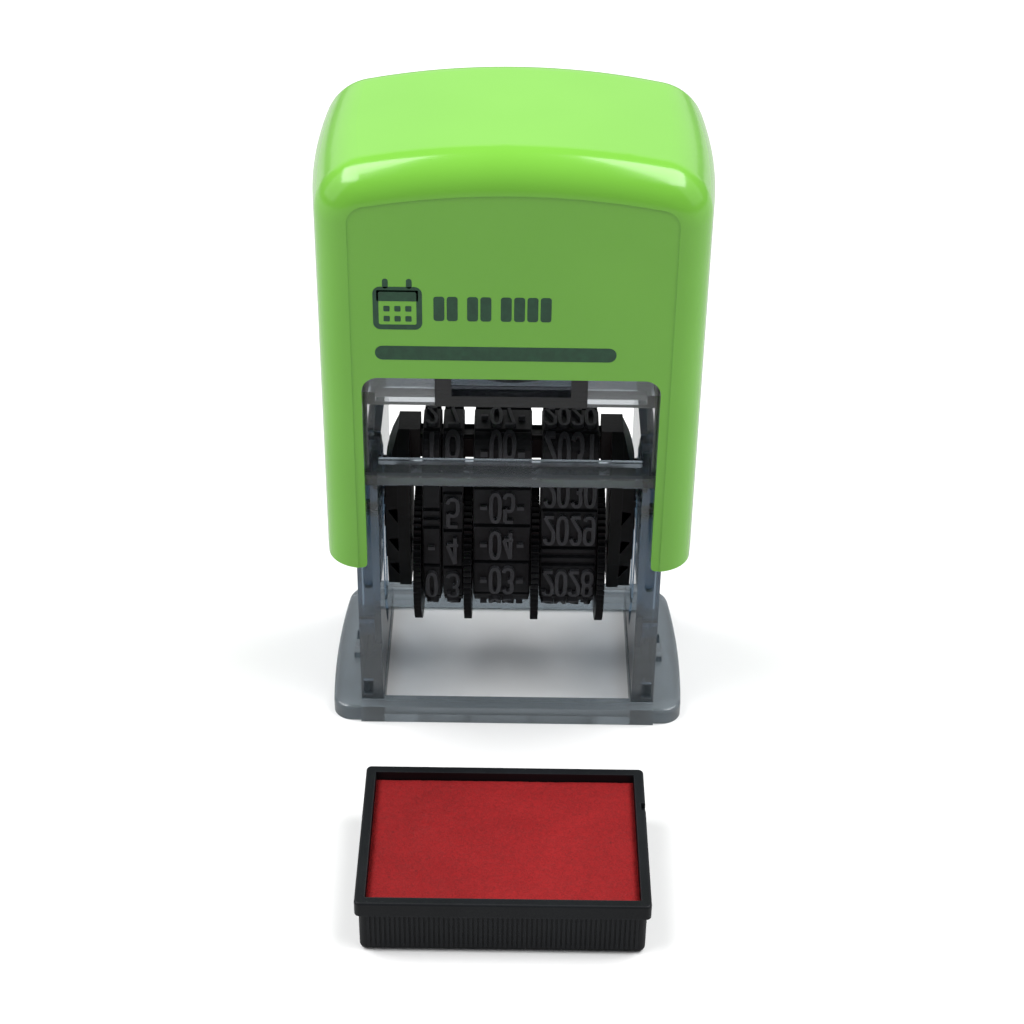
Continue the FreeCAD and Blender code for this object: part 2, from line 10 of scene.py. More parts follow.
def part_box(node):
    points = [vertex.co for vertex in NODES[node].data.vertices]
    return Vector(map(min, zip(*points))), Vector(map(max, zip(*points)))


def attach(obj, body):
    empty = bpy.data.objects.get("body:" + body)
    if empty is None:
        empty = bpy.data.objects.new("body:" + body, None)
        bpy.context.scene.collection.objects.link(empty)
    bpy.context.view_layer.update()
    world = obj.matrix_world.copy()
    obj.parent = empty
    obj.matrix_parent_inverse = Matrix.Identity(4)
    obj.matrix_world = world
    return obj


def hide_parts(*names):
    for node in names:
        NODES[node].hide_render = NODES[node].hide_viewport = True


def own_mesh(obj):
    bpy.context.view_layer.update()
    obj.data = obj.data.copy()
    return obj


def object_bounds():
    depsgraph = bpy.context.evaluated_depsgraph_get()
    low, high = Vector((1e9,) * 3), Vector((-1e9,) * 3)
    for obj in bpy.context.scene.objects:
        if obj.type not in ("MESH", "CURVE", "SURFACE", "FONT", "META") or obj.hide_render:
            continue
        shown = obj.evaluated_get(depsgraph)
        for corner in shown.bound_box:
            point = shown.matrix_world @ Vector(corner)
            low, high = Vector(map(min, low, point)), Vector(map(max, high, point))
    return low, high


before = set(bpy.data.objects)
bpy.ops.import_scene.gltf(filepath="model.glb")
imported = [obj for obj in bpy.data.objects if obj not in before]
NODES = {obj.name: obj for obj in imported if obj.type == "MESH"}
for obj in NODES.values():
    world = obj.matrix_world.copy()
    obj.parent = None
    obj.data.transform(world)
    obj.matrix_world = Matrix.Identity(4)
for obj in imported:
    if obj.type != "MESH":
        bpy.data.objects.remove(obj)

CAD_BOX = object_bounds()
MM = 0.001
SCENE = bpy.context.scene


# ---- camera --------------------------------------------------------------
CAMERA_ELEVATION = math.radians(34.31)
CAMERA_ROLL = math.radians(0.76)
CAMERA_DISTANCE = 0.2525
CAMERA_AIM = Vector((0.00026, 0.0, 0.02219))
CAMERA_LENS = 73.8
CAMERA_SENSOR = 36.0
CAMERA_NEAR, CAMERA_FAR = 0.01, 20.0


def make_camera():
    rise, roll = CAMERA_ELEVATION, CAMERA_ROLL
    side = Vector((math.cos(roll), math.sin(roll) * math.sin(rise), math.sin(roll) * math.cos(rise)))
    up = Vector((-math.sin(roll), math.cos(roll) * math.sin(rise), math.cos(roll) * math.cos(rise)))
    back = Vector((0, -math.cos(rise), math.sin(rise)))
    data = bpy.data.cameras.new("camera")
    data.lens = CAMERA_LENS
    data.sensor_width = CAMERA_SENSOR
    data.clip_start = CAMERA_NEAR
    data.clip_end = CAMERA_FAR
    camera = bpy.data.objects.new("camera", data)
    turn = Matrix((side, up, back)).transposed()
    camera.matrix_world = Matrix.Translation(CAMERA_AIM + back * CAMERA_DISTANCE) @ turn.to_4x4()
    SCENE.collection.objects.link(camera)
    SCENE.camera = camera


# ---- light ---------------------------------------------------------------
LIGHT_TARGET = (0, 0, 0.05)
WORLD_STRENGTH = 0.25
WORLD_STRENGTH_SEEN = 1.0


def softbox(name, place, aim, width, height, power, turn=0.0):
    """Rectangular lamp in metres and watts, turned about its own beam by some degrees."""
    data = bpy.data.lights.new(name, "AREA")
    data.shape = "RECTANGLE"
    data.size = width
    data.size_y = height
    data.energy = power
    lamp = bpy.data.objects.new(name, data)
    lamp.location = place
    lamp.rotation_mode = "QUATERNION"
    facing = (Vector(aim) - Vector(place)).to_track_quat("-Z", "Y")
    lamp.rotation_quaternion = facing @ Quaternion((0, 0, 1), math.radians(turn))
    SCENE.collection.objects.link(lamp)


def make_light():
    SCENE.view_settings.view_transform = "Standard"
    softbox("ceiling_left", (-0.62, 0.0, 0.95), (-0.62, 0.0, 0), 0.70, 0.90, 12.3, -16)
    softbox("ceiling_right", (0.59, 0.0, 0.95), (0.59, 0.0, 0), 0.72, 0.90, 12.6, 15)
    softbox("side_left", (-0.75, -0.10, 0.50), LIGHT_TARGET, 0.80, 0.80, 1.65)
    softbox("side_right", (0.75, -0.10, 0.50), LIGHT_TARGET, 0.80, 0.80, 1.25)
    softbox("back", (0.0, 0.80, 0.36), LIGHT_TARGET, 1.60, 0.50, 1.3)
    world = bpy.data.worlds.new("studio")
    SCENE.world = world
    world.use_nodes = True
    nodes, links = world.node_tree.nodes, world.node_tree.links
    shade = nodes["Background"]
    shade.inputs["Color"].default_value = (0.96, 0.98, 1.0, 1.0)
    shade.inputs["Strength"].default_value = WORLD_STRENGTH
    seen = nodes.new("ShaderNodeBackground")
    seen.inputs["Color"].default_value = (1.0, 1.0, 1.0, 1.0)
    seen.inputs["Strength"].default_value = WORLD_STRENGTH_SEEN
    ray = nodes.new("ShaderNodeLightPath")
    mix = nodes.new("ShaderNodeMixShader")
    links.new(ray.outputs["Is Camera Ray"], mix.inputs[0])
    links.new(shade.outputs[0], mix.inputs[1])
    links.new(seen.outputs[0], mix.inputs[2])
    links.new(mix.outputs[0], nodes["World Output"].inputs["Surface"])


# ---- materials -----------------------------------------------------------
# Cosines of the bevelled normal's turn: an edge is fully worn at the first and unworn from the second.
WORN_TURN, UNWORN_TURN = 0.80, 0.985
# Regions of the frame, each with its lowest and highest corner in millimetres.
BLOCK_REGION = ((-8.4, -12.0, 43.0), (8.4, -8.8, 60.0))
# The sill region is darkened as painted shade.
SILL_REGION = ((-16.5, -12.5, 33.5), (16.5, 12.5, 35.42))
# The housing region is lightened as painted light.
HOUSING_REGION = ((-17.0, -13.0, 43.0), (17.0, 13.0, 62.0))


class Look:
    """A Principled material with helpers for its procedural parts."""

    def __init__(self, name, **constants):
        self.material = bpy.data.materials.new(name)
        self.material.use_nodes = True
        self.tree = self.material.node_tree
        self.shader = self.tree.nodes["Principled BSDF"]
        self.place = self.tree.nodes.new("ShaderNodeTexCoord").outputs["Object"]
        self.bump_chain = None
        for socket, value in constants.items():
            self.shader.inputs[socket.replace("_", " ")].default_value = value

    def noise(self, scale, detail, stretch=(1, 1, 1), distortion=0.0):
        node = self.tree.nodes.new("ShaderNodeTexNoise")
        node.inputs["Scale"].default_value = scale
        node.inputs["Detail"].default_value = detail
        node.inputs["Distortion"].default_value = distortion
        self.tree.links.new(self.stretched(stretch), node.inputs["Vector"])
        return node.outputs["Fac"]

    def cells(self, scale):
        node = self.tree.nodes.new("ShaderNodeTexVoronoi")
        node.inputs["Scale"].default_value = scale
        self.tree.links.new(self.stretched((1, 1, 1)), node.inputs["Vector"])
        return node.outputs["Distance"]

    def stretched(self, stretch):
        node = self.tree.nodes.new("ShaderNodeMapping")
        node.inputs["Scale"].default_value = stretch
        self.tree.links.new(self.place, node.inputs["Vector"])
        return node.outputs["Vector"]

    def ramp(self, source, *stops):
        """Colour ramp; every stop is (position, colour or grey level)."""
        node = self.tree.nodes.new("ShaderNodeValToRGB")
        elements = node.color_ramp.elements
        while len(elements) < len(stops):
            elements.new(0.5)
        for element, (position, value) in zip(elements, stops):
            colour = value if isinstance(value, tuple) else (value, value, value)
            element.position = position
            element.color = (*colour, 1.0)
        self.tree.links.new(source, node.inputs["Fac"])
        return node.outputs["Color"]

    def within(self, low, high):
        """1 inside a box given in millimetres, 0 outside it."""
        split = self.tree.nodes.new("ShaderNodeSeparateXYZ")
        self.tree.links.new(self.place, split.inputs[0])
        inside = None
        for axis in range(3):
            for operation, limit in (("GREATER_THAN", low[axis]), ("LESS_THAN", high[axis])):
                test = self.tree.nodes.new("ShaderNodeMath")
                test.operation = operation
                test.inputs[1].default_value = limit * MM
                self.tree.links.new(split.outputs[axis], test.inputs[0])
                if inside:
                    both = self.tree.nodes.new("ShaderNodeMath")
                    both.operation = "MULTIPLY"
                    self.tree.links.new(inside, both.inputs[0])
                    self.tree.links.new(test.outputs[0], both.inputs[1])
                    inside = both.outputs[0]
                else:
                    inside = test.outputs[0]
        return inside

    def colour(self, source):
        self.tree.links.new(source, self.shader.inputs["Base Color"])

    def mix(self, base, top, amount, mode="MIX"):
        node = self.tree.nodes.new("ShaderNodeMixRGB")
        node.blend_type = mode
        for socket, value in (("Fac", amount), ("Color1", base), ("Color2", top)):
            if isinstance(value, (int, float)):
                node.inputs[socket].default_value = value
            elif isinstance(value, tuple):
                node.inputs[socket].default_value = (*value, 1.0)
            else:
                self.tree.links.new(value, node.inputs[socket])
        return node.outputs["Color"]

    def rough(self, source, low, high):
        node = self.tree.nodes.new("ShaderNodeMapRange")
        node.inputs["To Min"].default_value = low
        node.inputs["To Max"].default_value = high
        self.tree.links.new(source, node.inputs["Value"])
        self.tree.links.new(node.outputs["Result"], self.shader.inputs["Roughness"])

    def bump(self, source, height, strength):
        """Adds a bump, height in metres, on top of those before it."""
        node = self.tree.nodes.new("ShaderNodeBump")
        node.inputs["Strength"].default_value = strength
        node.inputs["Distance"].default_value = height
        self.tree.links.new(source, node.inputs["Height"])
        if self.bump_chain:
            self.tree.links.new(self.bump_chain, node.inputs["Normal"])
        self.bump_chain = node.outputs["Normal"]
        self.tree.links.new(self.bump_chain, self.shader.inputs["Normal"])
        return self

    def edge_wear(self, base, worn, radius, amount):
        """Lightens convex edges, read from how far a bevelled normal turns."""
        bevel = self.tree.nodes.new("ShaderNodeBevel")
        bevel.samples = 4
        bevel.inputs["Radius"].default_value = radius
        geometry = self.tree.nodes.new("ShaderNodeNewGeometry")
        dot = self.tree.nodes.new("ShaderNodeVectorMath")
        dot.operation = "DOT_PRODUCT"
        self.tree.links.new(bevel.outputs["Normal"], dot.inputs[0])
        self.tree.links.new(geometry.outputs["Normal"], dot.inputs[1])
        mask = self.ramp(dot.outputs["Value"], (WORN_TURN, amount), (UNWORN_TURN, 0.0))
        return self.mix(base, worn, mask)


def green_plastic():
    look = Look("green_plastic", IOR=1.50, Coat_Weight=0.25, Coat_Roughness=0.05)
    drift = look.noise(45, 2)
    look.colour(look.ramp(drift, (0.35, (0.168, 0.478, 0.040)), (0.65, (0.182, 0.506, 0.046))))
    look.rough(look.noise(600, 4), 0.14, 0.22)
    look.bump(look.noise(160, 1), 0.00006, 0.25)
    return look.bump(look.noise(5200, 2), 0.000004, 0.5).material


def smoke_plastic(name, clear, darker, lighter, absorbed, density, low, high):
    """Smoky transparent plastic, lighter and clearer round the spring as painted light, nearly black in the
    front block, and darker in the sills as painted shade; low and high are the limits of its roughness."""
    look = Look(name, IOR=1.49, Transmission_Weight=clear)
    base = look.ramp(look.noise(60, 2), (0.3, darker), (0.7, lighter))
    block = look.within(*BLOCK_REGION)
    # Painted shade: the sills get a darker colour than the rest of the frame.
    sill_painted_shade = look.within(*SILL_REGION)
    # Painted light: the housing round the spring gets a lighter, clearer colour.
    housing_painted_light = look.within(*HOUSING_REGION)
    # The sills are mixed to a painted shade colour, the housing to a painted light colour.
    base = look.mix(look.mix(base, (0.34, 0.37, 0.40), sill_painted_shade), (0.94, 0.96, 0.98), housing_painted_light)
    look.colour(look.mix(base, (0.012, 0.013, 0.016), block))
    look.rough(look.noise(2400, 3, (1, 1, 0.3)), low, high)
    look.bump(look.noise(260, 2, (1, 1, 0.4)), 0.00002, 0.35)
    tint = look.tree.nodes.new("ShaderNodeVolumeAbsorption")
    tint.inputs["Color"].default_value = (*absorbed, 1.0)
    tint.inputs["Density"].default_value = density
    output = look.tree.nodes["Material Output"]
    look.tree.links.new(tint.outputs["Volume"], output.inputs["Volume"])
    return look.material


def moulded(name, dark, light, worn, low, high, grain):
    """Black moulded plastic with a fine grain, faint flow marks and rubbed edges, rough from low to high."""
    look = Look(name, IOR=1.5, Specular_IOR_Level=0.16)
    flow = look.noise(70, 4, (1, 1, 0.35))
    base = look.ramp(flow, (0.35, dark), (0.7, light))
    look.colour(look.edge_wear(base, worn, 0.00022, 0.55))
    look.rough(look.noise(800, 5), low, high)
    look.bump(look.cells(grain), 0.000012, 0.5)
    return look.bump(look.noise(grain * 0.4, 3), 0.00001, 0.5).material


def band_rubber(name, dark, middle, dusty, worn):
    look = Look(name, IOR=1.5, Specular_IOR_Level=0.2, Sheen_Weight=0.04, Sheen_Roughness=0.5)
    dust = look.noise(900, 6, distortion=0.4)
    base = look.ramp(dust, (0.35, dark), (0.62, middle), (0.80, dusty))
    look.colour(look.edge_wear(base, worn, 0.00015, 0.5))
    look.rough(look.noise(1500, 4), 0.42, 0.62)
    return look.bump(look.noise(4200, 4), 0.000014, 0.6).material


def wire(name, tone):
    look = Look(name, Metallic=1.0, Anisotropic=0.35)
    streaks = look.noise(900, 4, (1, 1, 6))
    look.colour(look.ramp(streaks, (0.3, tuple(0.82 * c for c in tone)), (0.7, tone)))
    look.rough(streaks, 0.18, 0.36)
    return look.bump(look.noise(6000, 3), 0.000003, 0.5).material


def ink_print():
    look = Look("panel_ink", IOR=1.48)
    cover = look.noise(1400, 5)
    look.colour(look.ramp(cover, (0.35, (0.012, 0.060, 0.028)), (0.7, (0.018, 0.082, 0.038))))
    look.rough(cover, 0.32, 0.5)
    return look.bump(cover, 0.000006, 0.6).material


def red_felt():
    look = Look("red_felt", IOR=1.42, Specular_IOR_Level=0.3, Sheen_Weight=0.05, Sheen_Roughness=0.45)
    look.shader.inputs["Sheen Tint"].default_value = (1.0, 0.45, 0.45, 1.0)
    wet = look.noise(75, 4, distortion=0.6)
    fibre = look.noise(2600, 6, distortion=1.6)
    base = look.ramp(wet, (0.30, (0.190, 0.0022, 0.0036)), (0.52, (0.222, 0.0034, 0.0050)),
                     (0.75, (0.262, 0.0060, 0.0076)))
    base = look.mix(base, look.ramp(fibre, (0.35, 0.62), (0.6, 1.0)), 0.7, "MULTIPLY")
    specks = look.ramp(look.cells(520), (0.02, (0.25, 0.2, 0.2)), (0.10, (1.0, 1.0, 1.0)))
    look.colour(look.mix(base, specks, 0.55, "MULTIPLY"))
    look.rough(look.noise(500, 4), 0.58, 0.85)
    look.bump(fibre, 0.00012, 0.8)
    return look.bump(look.cells(1900), 0.00008, 0.5).material


def floor_paper():
    """White paper that throws back less light than it shows, so that it doesn't light the fronts too much."""
    look = Look("floor_paper", IOR=1.4)
    shown = look.ramp(look.noise(40, 5), (0.3, 0.87), (0.7, 0.89))
    ray = look.tree.nodes.new("ShaderNodeLightPath").outputs["Is Camera Ray"]
    look.colour(look.mix((0.48, 0.48, 0.48), shown, ray))
    look.rough(look.noise(300, 3), 0.7, 0.9)
    return look.bump(look.noise(2500, 4), 0.00002, 0.3).material


# ---- meshes --------------------------------------------------------------
MERGE_DISTANCE = 1e-8
SMOOTH_ANGLE = math.radians(38)
BEVEL_ANGLE = math.radians(50)


class Build:
    """Collects vertices and faces, then makes one object."""

    def __init__(self):
        self.points = []
        self.faces = []

    def grid(self, rows, closed_rows=False, closed_across=False):
        """Faces between rows of points that all have the same length."""
        start = len(self.points)
        across = len(rows[0])
        for row in rows:
            self.points.extend(row)
        for i in range(len(rows) if closed_rows else len(rows) - 1):
            here, after = start + i * across, start + (i + 1) % len(rows) * across
            for j in range(across if closed_across else across - 1):
                k = (j + 1) % across
                self.faces.append((here + j, here + k, after + k, after + j))
        return start

    def cap(self, indices):
        self.faces.append(tuple(indices))

    def make(self, name, material, slot, smooth=True, bevel=0.0):
        mesh = bpy.data.meshes.new(name)
        mesh.from_pydata([tuple(p) for p in self.points], [], self.faces)
        shape = bmesh.new()
        shape.from_mesh(mesh)
        bmesh.ops.remove_doubles(shape, verts=shape.verts, dist=MERGE_DISTANCE)
        bmesh.ops.recalc_face_normals(shape, faces=shape.faces)
        shape.to_mesh(mesh)
        shape.free()
        mesh.materials.append(material)
        mesh.polygons.foreach_set("use_smooth", [smooth] * len(mesh.polygons))
        if smooth:
            mesh.set_sharp_from_angle(angle=SMOOTH_ANGLE)
        piece = bpy.data.objects.new(name, mesh)
        SCENE.collection.objects.link(piece)
        if bevel:
            edge = piece.modifiers.new("edge", "BEVEL")
            edge.width = bevel
            edge.segments = 2
            edge.limit_method = "ANGLE"
            edge.angle_limit = BEVEL_ANGLE
        return piece


def ribbon(build, line, base_width, top_width, low, high, place, closed=False):
    """Raised stroke with drafted sides along (u, v) points; place(u, v, height) gives a point in metres."""
    rows = []
    count = len(line)
    for i, (u, v) in enumerate(line):
        before = line[i - 1] if i or closed else line[i]
        after = line[(i + 1) % count] if i < count - 1 or closed else line[i]
        du, dv = after[0] - before[0], after[1] - before[1]
        length = math.hypot(du, dv) or 1.0
        nu, nv = -dv / length, du / length
        half_low, half_high = base_width / 2, top_width / 2
        rows.append([
            place(u + nu * half_low, v + nv * half_low, low),
            place(u + nu * half_high, v + nv * half_high, high),
            place(u - nu * half_high, v - nv * half_high, high),
            place(u - nu * half_low, v - nv * half_low, low),
        ])
    start = build.grid(rows, closed_rows=closed, closed_across=True)
    if not closed:
        last = start + 4 * (count - 1)
        build.cap(range(start, start + 4))
        build.cap(range(last, last + 4))


# ---- digits: own condensed design in a box from -1 to 1 -------------------
LOOP_SQUARENESS = 2.7
LOOP_STEP_DEGREES = 11


def bow(centre_v, reach_v, start, end, reach_u=1.0):
    """Part of a squarish loop, from one angle to another in degrees."""
    steps = max(6, int(abs(end - start) / LOOP_STEP_DEGREES))
    points = []
    for i in range(steps + 1):
        a = math.radians(start + (end - start) * i / steps)
        c, s = math.cos(a), math.sin(a)
        u = math.copysign(abs(c) ** (2 / LOOP_SQUARENESS), c)
        v = math.copysign(abs(s) ** (2 / LOOP_SQUARENESS), s)
        points.append((reach_u * u, centre_v + reach_v * v))
    return points


def turned(strokes):
    """The same strokes after half a turn."""
    return [[(-u, -v) for u, v in stroke] for stroke in strokes]


def digit_strokes(mark):
    six = [bow(-0.42, 0.58, 0, 360), bow(0.40, 0.60, 28, 180) + [(-1.0, -0.4)]]
    return {
        "0": [bow(0, 1.0, 0, 360)],
        "1": [[(0.15, 1.0), (0.15, -1.0)], [(0.15, 0.98), (-0.55, 0.55)]],
        "2": [bow(0.42, 0.58, 165, -32) + [(-0.95, -0.98)], [(-1.0, -1.0), (1.0, -1.0)]],
        "3": [bow(0.49, 0.51, 160, -90, 0.92), bow(-0.49, 0.51, 90, -160)],
        "4": [[(0.45, -1.0), (0.45, 1.0)], [(0.45, 1.0), (-1.0, -0.42)], [(-1.0, -0.45), (1.05, -0.45)]],
        "5": [[(0.9, 1.0), (-0.8, 1.0)], [(-0.8, 1.0), (-0.86, 0.06)], bow(-0.40, 0.60, 138, -160)],
        "6": six,
        "7": [[(-1.0, 1.0), (1.0, 1.0)], [(0.95, 1.0), (-0.25, -1.0)]],
        "8": [bow(0.50, 0.50, 0, 360, 0.88), bow(-0.50, 0.50, 0, 360)],
        "9": turned(six),
        "-": [[(-0.75, 0.0), (0.75, 0.0)]],
    }[mark]


def divided(line, step):
    """The same line with points no further apart than step."""
    points = [line[0]]
    for a, b in zip(line, line[1:]):
        count = max(1, math.ceil(math.hypot(b[0] - a[0], b[1] - a[1]) / step))
        for i in range(1, count + 1):
            points.append((a[0] + (b[0] - a[0]) * i / count, a[1] + (b[1] - a[1]) * i / count))
    return points


# ---- band path: the same loop as the CAD bands ----------------------------
SHOULDER_HALF_DEPTH = 3.9
SHOULDER_Z = 32.9
TOP_HALF_DEPTH = 2.5
# Where the rounded top corner's middle lies between its two ends.
CORNER_SHARE_Y, CORNER_SHARE_Z = 0.75, 0.72
# Angle in radians, up from the bottom, of a point on the drum between the bottom and the front.
DRUM_ARC_MIDDLE = 0.8
TANGENT_STEP = 0.05


def through(start, middle, end, steps=48):
    """Points of the arc through three (y, z) points."""
    a, m, b = (np.array(p, float) for p in (start, middle, end))
    centre = np.linalg.solve(2 * np.array([m - a, b - a]), [m @ m - a @ a, b @ b - a @ a])
    radius = np.linalg.norm(a - centre)
    angles = [math.atan2(*(p - centre)[::-1]) for p in (a, m, b)]
    first = (angles[1] - angles[0] + math.pi) % (2 * math.pi) - math.pi
    second = (angles[2] - angles[1] + math.pi) % (2 * math.pi) - math.pi
    turn = angles[0] + (first + second) * np.linspace(0, 1, steps)
    return np.c_[centre[0] + radius * np.cos(turn), centre[1] + radius * np.sin(turn)]


class BandPath:
    """Outside of a band in the y-z plane, measured from the middle of the print face down the front."""

    def __init__(self):
        low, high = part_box("year_band")
        radius, top = high.y / MM, high.z / MM
        axle = low.z / MM + radius
        rise, lean = SHOULDER_Z - axle, radius - SHOULDER_HALF_DEPTH
        run_radius = (rise ** 2 + lean ** 2) / (2 * lean)
        bulge = radius - run_radius + math.sqrt(run_radius ** 2 - (rise / 2) ** 2)
        corner_y = TOP_HALF_DEPTH + CORNER_SHARE_Y * (SHOULDER_HALF_DEPTH - TOP_HALF_DEPTH)
        corner_z = SHOULDER_Z + CORNER_SHARE_Z * (top - SHOULDER_Z)
        shoulder = (-SHOULDER_HALF_DEPTH, SHOULDER_Z)
        front = [
            np.array([[0.0, top]]),
            through((-TOP_HALF_DEPTH, top), (-corner_y, corner_z), shoulder),
            through(shoulder, (-bulge, axle + rise / 2), (-radius, axle))[1:],
            through((-radius, axle),
                    (-radius * math.sin(DRUM_ARC_MIDDLE), axle - radius * math.cos(DRUM_ARC_MIDDLE)),
                    (0.0, axle - radius))[1:],
        ]
        half = np.concatenate(front)
        self.line = np.concatenate([half, half[::-1][1:] * [-1, 1]])
        steps = np.linalg.norm(np.diff(self.line, axis=0), axis=1)
        self.along = np.r_[0, np.cumsum(steps)]
        self.length = self.along[-1]

    def point(self, along):
        along = along % self.length
        return np.array([np.interp(along, self.along, self.line[:, k]) for k in (0, 1)])

    def place(self, x, along, height):
        ahead = self.point(along + TANGENT_STEP) - self.point(along - TANGENT_STEP)
        ahead /= np.linalg.norm(ahead)
        y, z = self.point(along) + np.array([ahead[1], -ahead[0]]) * height
        return Vector((x, y, z)) * MM


# ---- type on the bands, in millimetres -------------------------------------
BLOCK_HEIGHT = 0.5
BLOCK_ROOT = -0.1
BLOCK_INSET = 0.05
BLOCK_SIDE_DRAFT = 0.08
BLOCK_END_DRAFT = 0.10
BLOCK_STEP = 0.5
BLOCK_BEVEL = 0.00006   # metres
RIB_START, RIB_END = 0.12, 0.78
TYPE_HEIGHT = 1.0
DIGIT_HALF_HEIGHT = 1.72
STROKE_WIDTH = 0.40
STROKE_DRAFT = 0.14
STROKE_ROOT = 0.05
STROKE_STEP = 0.4
DASH_SHIFT = 0.18
GAP = 0.14
# Marks from the print face down the front, each with the start of its cell along the band. The last entry
# only says where the back begins. "|" is a plain rib and "" a blank block.
FRONT_CELLS = {
    "year": [("2020", -2.5), ("2031", 2.5), ("2030", 7.05), ("2029", 11.75), ("|", 16.75), ("|", 17.95),
             ("2028", 19.1), (None, 24.15)],
    "month": [("-07-", -2.4), ("-06-", 2.4), ("|", 6.95), ("|", 8.05), ("-05-", 9.1), ("-04-", 13.85),
              ("-03-", 18.8), (None, 23.75)],
    "units": [("7", -2.4), ("6", 2.4), ("|", 7.05), ("|", 8.35), ("5", 9.75), ("4", 14.6), ("3", 19.65),
              (None, 24.6)],
    "tens": [("2", -2.4), ("1", 2.4), ("", 7.1), ("|", 11.9), ("|", 13.05), ("-", 14.2), ("0", 19.4),
             (None, 24.75)],
}
# Marks from there up the back; their cells share what is left of the loop.
BACK_CELLS = {
    "year": ["2027", "2026", "2025", "2024", "2023", "2022", "2021"],
    "month": ["-02-", "-01-", "-12-", "-11-", "-10-", "-09-", "-08-"],
    "units": ["2", "1", "0", "", "", "9", "8"],
    "tens": ["3", "2", "1", "0", "-", "3", ""],
}
DIGIT_HALF_WIDTH = {"year": 0.53, "month": 0.53, "units": 0.62, "tens": 0.5}
DIGIT_PITCH = 1.56


def raised_block(build, path, left, right, start, end):
    """Rubber block with drafted sides that follows the band."""
    rows = []
    steps = max(3, round((end - start) / BLOCK_STEP))
    for i in range(steps + 1):
        share = i / steps
        along = start + (end - start) * share
        inward = BLOCK_END_DRAFT if share < 0.5 else -BLOCK_END_DRAFT
        top_along = along + (inward if i in (0, steps) else 0.0)
        rows.append([
            path.place(left, along, BLOCK_ROOT),
            path.place(left + BLOCK_SIDE_DRAFT, top_along, BLOCK_HEIGHT),
            path.place(right - BLOCK_SIDE_DRAFT, top_along, BLOCK_HEIGHT),
            path.place(right, along, BLOCK_ROOT),
        ])
    first = build.grid(rows, closed_across=True)
    last = first + 4 * steps
    build.cap(range(first, first + 4))
    build.cap(range(last, last + 4))


def band_type(name, path, material, type_material):
    low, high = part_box(name + "_band")
    left, right = low.x / MM + BLOCK_INSET, high.x / MM - BLOCK_INSET
    middle = (left + right) / 2
    cells = list(FRONT_CELLS[name])
    rest_start = cells.pop()[1]
    end = path.length + cells[0][1]
    share = (end - rest_start) / len(BACK_CELLS[name])
    cells += [(marks, rest_start + share * i) for i, marks in enumerate(BACK_CELLS[name])]
    blocks, type_ = Build(), Build()
    ends = [start for _, start in cells[1:]] + [end]
    for (marks, start), finish in zip(cells, ends):
        if marks == "|":
            raised_block(blocks, path, left, right, start + RIB_START, start + RIB_END)
            continue
        raised_block(blocks, path, left, right, start + GAP, finish - GAP)
        half_width = DIGIT_HALF_WIDTH[name]
        centre = (start + finish) / 2
        for i, mark in enumerate(marks):
            x = middle + DIGIT_PITCH * (i - (len(marks) - 1) / 2)
            if mark == "-" and name == "month":
                x += DASH_SHIFT if i == 0 else -DASH_SHIFT
            for stroke in digit_strokes(mark):
                line = [(x + u * half_width, centre + v * DIGIT_HALF_HEIGHT) for u, v in stroke]
                closed = math.dist(line[0], line[-1]) < 1e-6
                line = divided(line, STROKE_STEP)
                if closed:
                    line.pop()
                ribbon(type_, line, STROKE_WIDTH + STROKE_DRAFT, STROKE_WIDTH, BLOCK_HEIGHT - STROKE_ROOT,
                       TYPE_HEIGHT, path.place, closed)
    parts = (("blocks", blocks, material, BLOCK_BEVEL), ("type", type_, type_material, 0.0))
    for part, build, rubber_look, bevel in parts:
        piece = build.make("%s_%s" % (name, part), rubber_look, "band_rubber", smooth=False, bevel=bevel)
        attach(piece, "carrier")


# ---- printed pictogram on the cover, in millimetres -------------------------
PANEL_RECESS = 0.12
PANEL_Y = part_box("cover")[0].y / MM + PANEL_RECESS
INK_HEIGHT = 0.03
INK_ROOT = -0.02
# Boxes are left, right, low, high.
CALENDAR = (-14.7, -9.5, 54.9, 60.0)
CALENDAR_HALF_LINE = 0.3
RING_INSET, RING_HALF_WIDTH = 1.35, 0.3
DAY_START_X, DAY_START_Z, DAY_PITCH_X, DAY_PITCH_Z, DAY_HALF = 1.45, 1.3, 1.15, 1.2, 0.33
FIELD_WIDTH, FIELD_PITCH, FIELD_LOW, FIELD_HIGH = 1.15, 1.4, 56.0, 58.9
FIELDS_START, FIELDS_GAP = -8.3, 0.75
RULE = (-14.6, 11.2, 51.2, 52.9)


def rounded_box(left, right, low, high, radius, steps=5):
    corners = ((right, high, 0), (left, high, 90), (left, low, 180), (right, low, 270))
    outline = []
    for u, v, start in corners:
        cu = u - math.copysign(radius, u - (left + right) / 2)
        cv = v - math.copysign(radius, v - (low + high) / 2)
        for i in range(steps + 1):
            a = math.radians(start + 90 * i / steps)
            outline.append((cu + radius * math.cos(a), cv + radius * math.sin(a)))
    return outline


def on_panel(u, v, height):
    return Vector((u, PANEL_Y - height, v)) * MM


def printed_shape(build, outline):
    rows = [[on_panel(u, v, height) for u, v in outline] for height in (INK_ROOT, INK_HEIGHT)]
    start = build.grid(rows, closed_across=True)
    build.cap(range(start + len(outline), start + 2 * len(outline)))
    build.cap(range(start, start + len(outline)))


